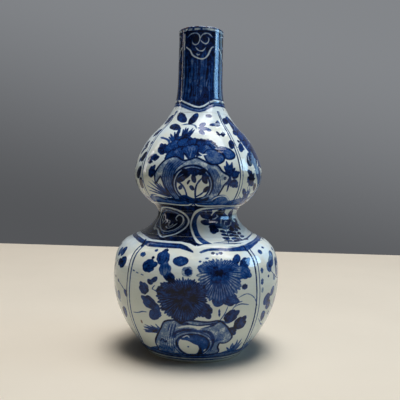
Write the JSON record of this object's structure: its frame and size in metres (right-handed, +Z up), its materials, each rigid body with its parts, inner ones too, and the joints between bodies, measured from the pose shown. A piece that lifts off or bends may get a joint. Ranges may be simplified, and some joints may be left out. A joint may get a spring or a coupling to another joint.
{
  "type": "double gourd vase",
  "caption": "Double gourd bottle vase in blue and white porcelain: round lower bulb on a low foot ring, narrow waist, smaller upper bulb and a tall straight neck.",
  "frame": {"origin": "centre of the foot ring on the table", "axes": "+Z up the axis to the mouth, -Y out through the middle of the front panel's side, +X to the viewer's right"},
  "size_m": [0.1564, 0.1564, 0.3],
  "materials": {
    "painted_glaze": "glossy clear glaze over cobalt painting on white porcelain",
    "luting_slip": "fired porcelain slip, matte"
  },
  "bodies": {
    "root": {"lower_bulb_bowl": "painted_glaze", "lower_bulb_shoulder": "painted_glaze", "waist_collar": "painted_glaze", "upper_bulb_bowl": "painted_glaze", "upper_bulb_shoulder": "painted_glaze", "neck_tube": "painted_glaze", "belly_luting_seam": "luting_slip", "collar_luting_seam": "luting_slip", "waist_luting_seam": "luting_slip", "upper_belly_luting_seam": "luting_slip", "neck_luting_seam": "luting_slip"}
  },
  "joints": []
}
